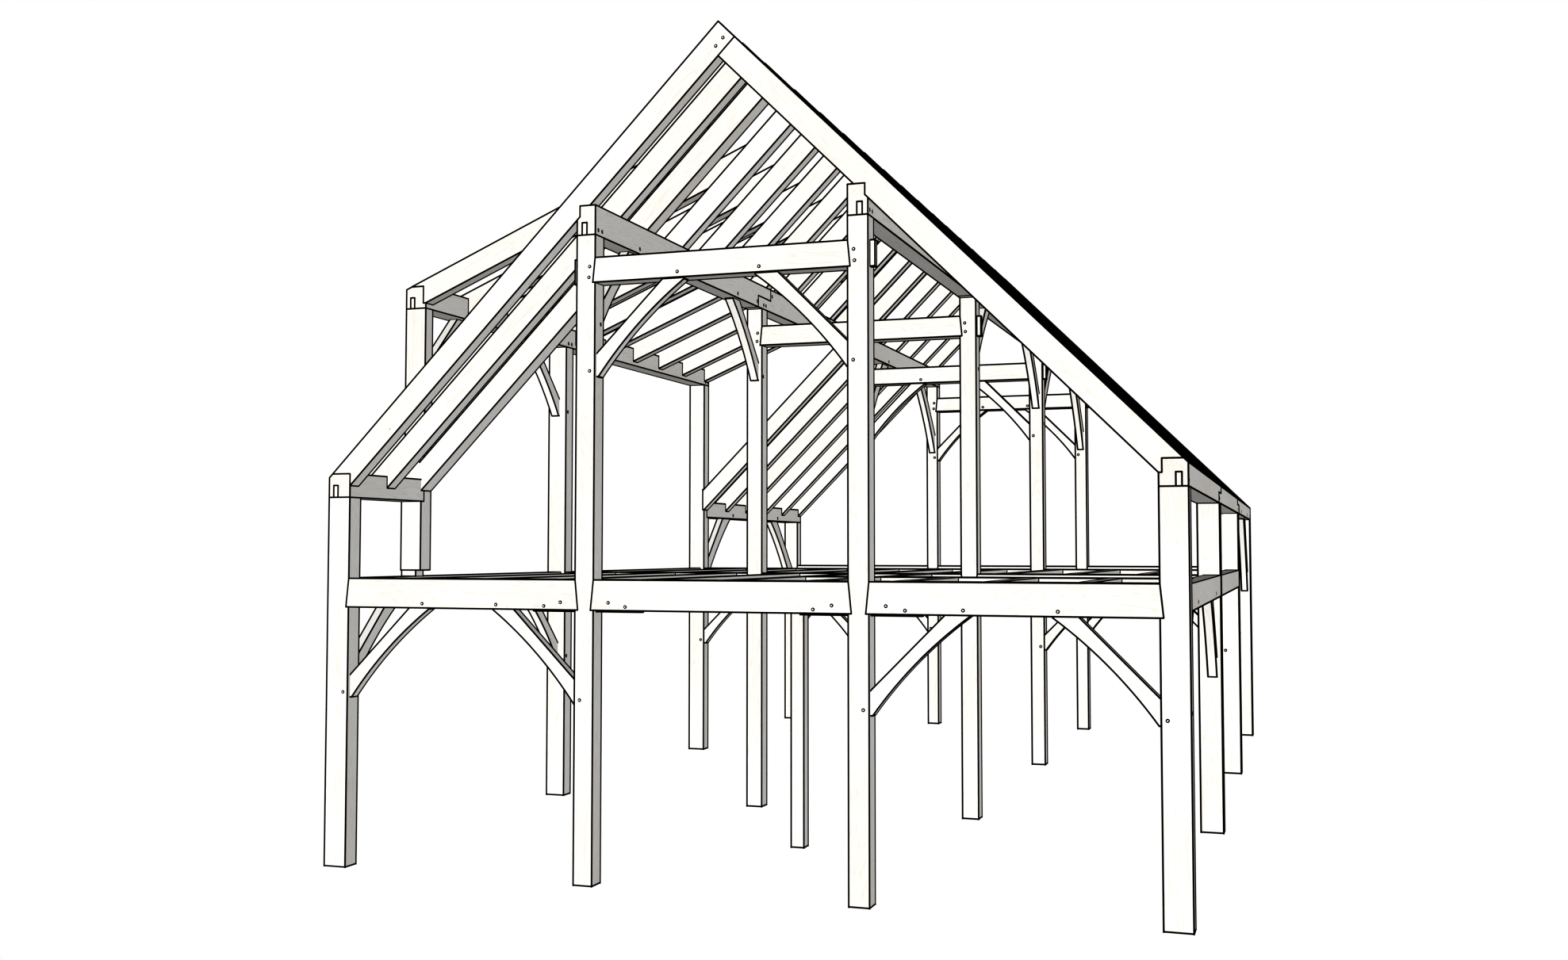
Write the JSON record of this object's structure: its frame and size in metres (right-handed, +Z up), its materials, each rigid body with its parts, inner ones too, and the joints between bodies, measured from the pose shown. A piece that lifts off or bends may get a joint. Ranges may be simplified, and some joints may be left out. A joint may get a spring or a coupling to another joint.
{
  "type": "timber frame building skeleton",
  "caption": "Storey-and-a-half timber frame of pegged posts, floor, curved braces, ties, purlin plates and 45 degree rafters, with a shed dormer on one side.",
  "frame": {"origin": "on the ground at the centre of the footprint", "axes": "+Z up, +X across the building towards the side without the dormer, +Y along the ridge from the front bent to the rear bent"},
  "size_m": [8.942, 15.306, 8.605],
  "materials": {
    "post_timber": "satin",
    "beam_timber": "satin",
    "brace_timber": "satin",
    "joist_timber": "satin",
    "rafter_timber": "satin"
  },
  "bodies": {
    "root": {"centre_bent_girts": "beam_timber", "dormer_braces": "brace_timber", "dormer_plate": "beam_timber", "dormer_post": "post_timber", "dormer_roof_rafters": "rafter_timber", "floor_braces": "brace_timber", "floor_header": "joist_timber", "floor_joists": "joist_timber", "floor_splines": "brace_timber", "left_bent_girts": "beam_timber", "left_eave_plates": "beam_timber", "left_eave_posts": "post_timber", "left_full_rafters": "rafter_timber", "left_inner_posts": "post_timber", "left_post_rafters": "rafter_timber", "left_purlin_ends": "beam_timber", "left_purlin_middle": "beam_timber", "left_short_rafters": "rafter_timber", "left_tall_posts": "post_timber", "left_wall_girts": "beam_timber", "mid_post": "post_timber", "purlin_braces": "brace_timber", "rear_bay_braces": "brace_timber", "right_bent_girts": "beam_timber", "right_eave_plate_ends": "beam_timber", "right_eave_plate_middle": "beam_timber", "right_eave_posts": "post_timber", "right_inner_posts": "post_timber", "right_purlin_ends": "beam_timber", "right_purlin_middle": "beam_timber", "right_rafters": "rafter_timber", "right_wall_girts": "beam_timber", "tie_braces": "brace_timber", "upper_ties": "beam_timber", "wall_girt_braces": "brace_timber"}
  },
  "joints": []
}
